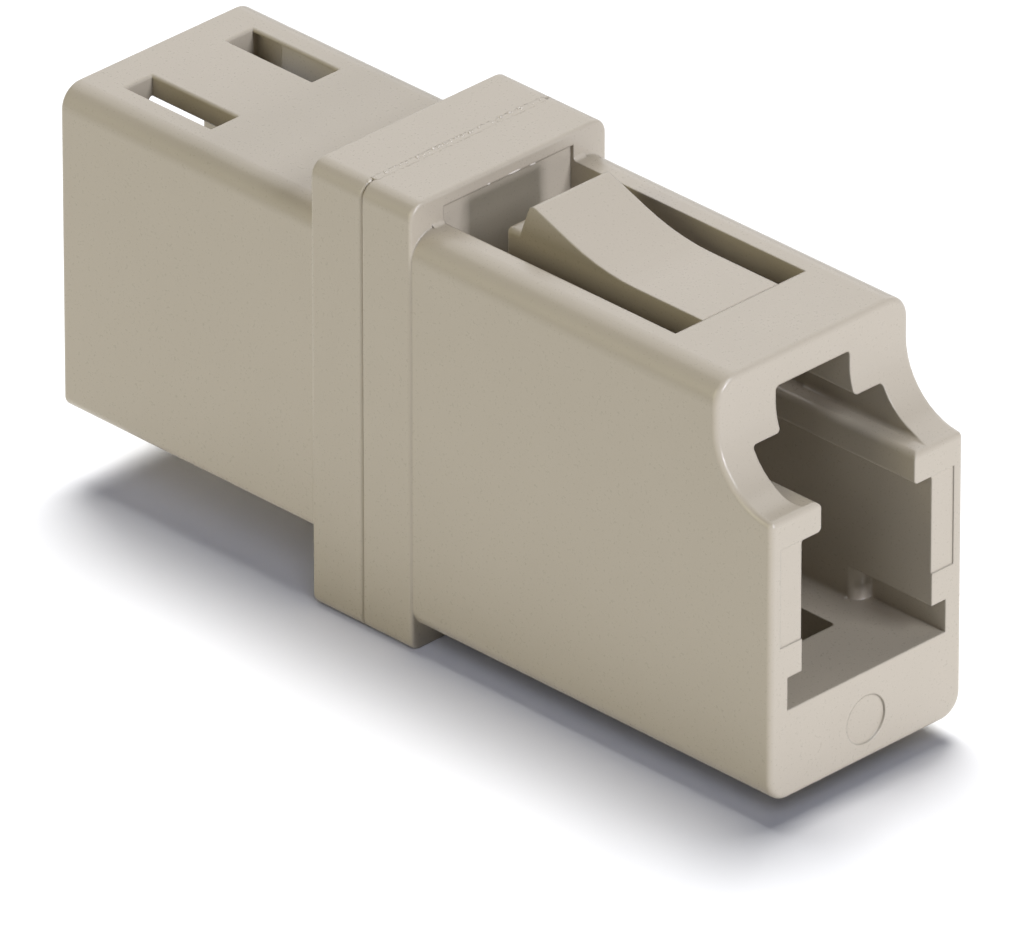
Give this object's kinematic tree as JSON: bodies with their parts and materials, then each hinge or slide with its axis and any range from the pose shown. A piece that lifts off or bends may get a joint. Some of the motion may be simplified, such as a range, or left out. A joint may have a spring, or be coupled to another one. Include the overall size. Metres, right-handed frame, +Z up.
{
  "type": "fibre optic adapter",
  "caption": "Simplex fibre optic adapter: a port at each end joins plugs through a split sleeve; a flange and sprung latch hold it in a panel.",
  "frame": {"origin": "middle of the alignment sleeve's bore, on the weld plane between the two halves", "axes": "+X along the plug axis towards the front mouth, +Y across, +Z up towards the panel latch"},
  "size_m": [0.0252, 0.007, 0.0128],
  "materials": {
    "housing": "satin moulded beige thermoplastic with a fine spark-eroded grain",
    "sleeve": "bright phosphor bronze"
  },
  "bodies": {
    "adapter": {"front_housing": "housing", "rear_housing": "housing", "alignment_sleeve": "sleeve"},
    "latch": {"panel_latch": "housing"}
  },
  "joints": [
    {"name": "latch_flex", "type": "hinge", "parent": "adapter", "child": "latch", "pos_m": [0.00987, 0, 0.0055], "axis": [0, -1, 0], "range_deg": [0, 8], "stiffness_Nm_per_rad": 0.2}
  ]
}
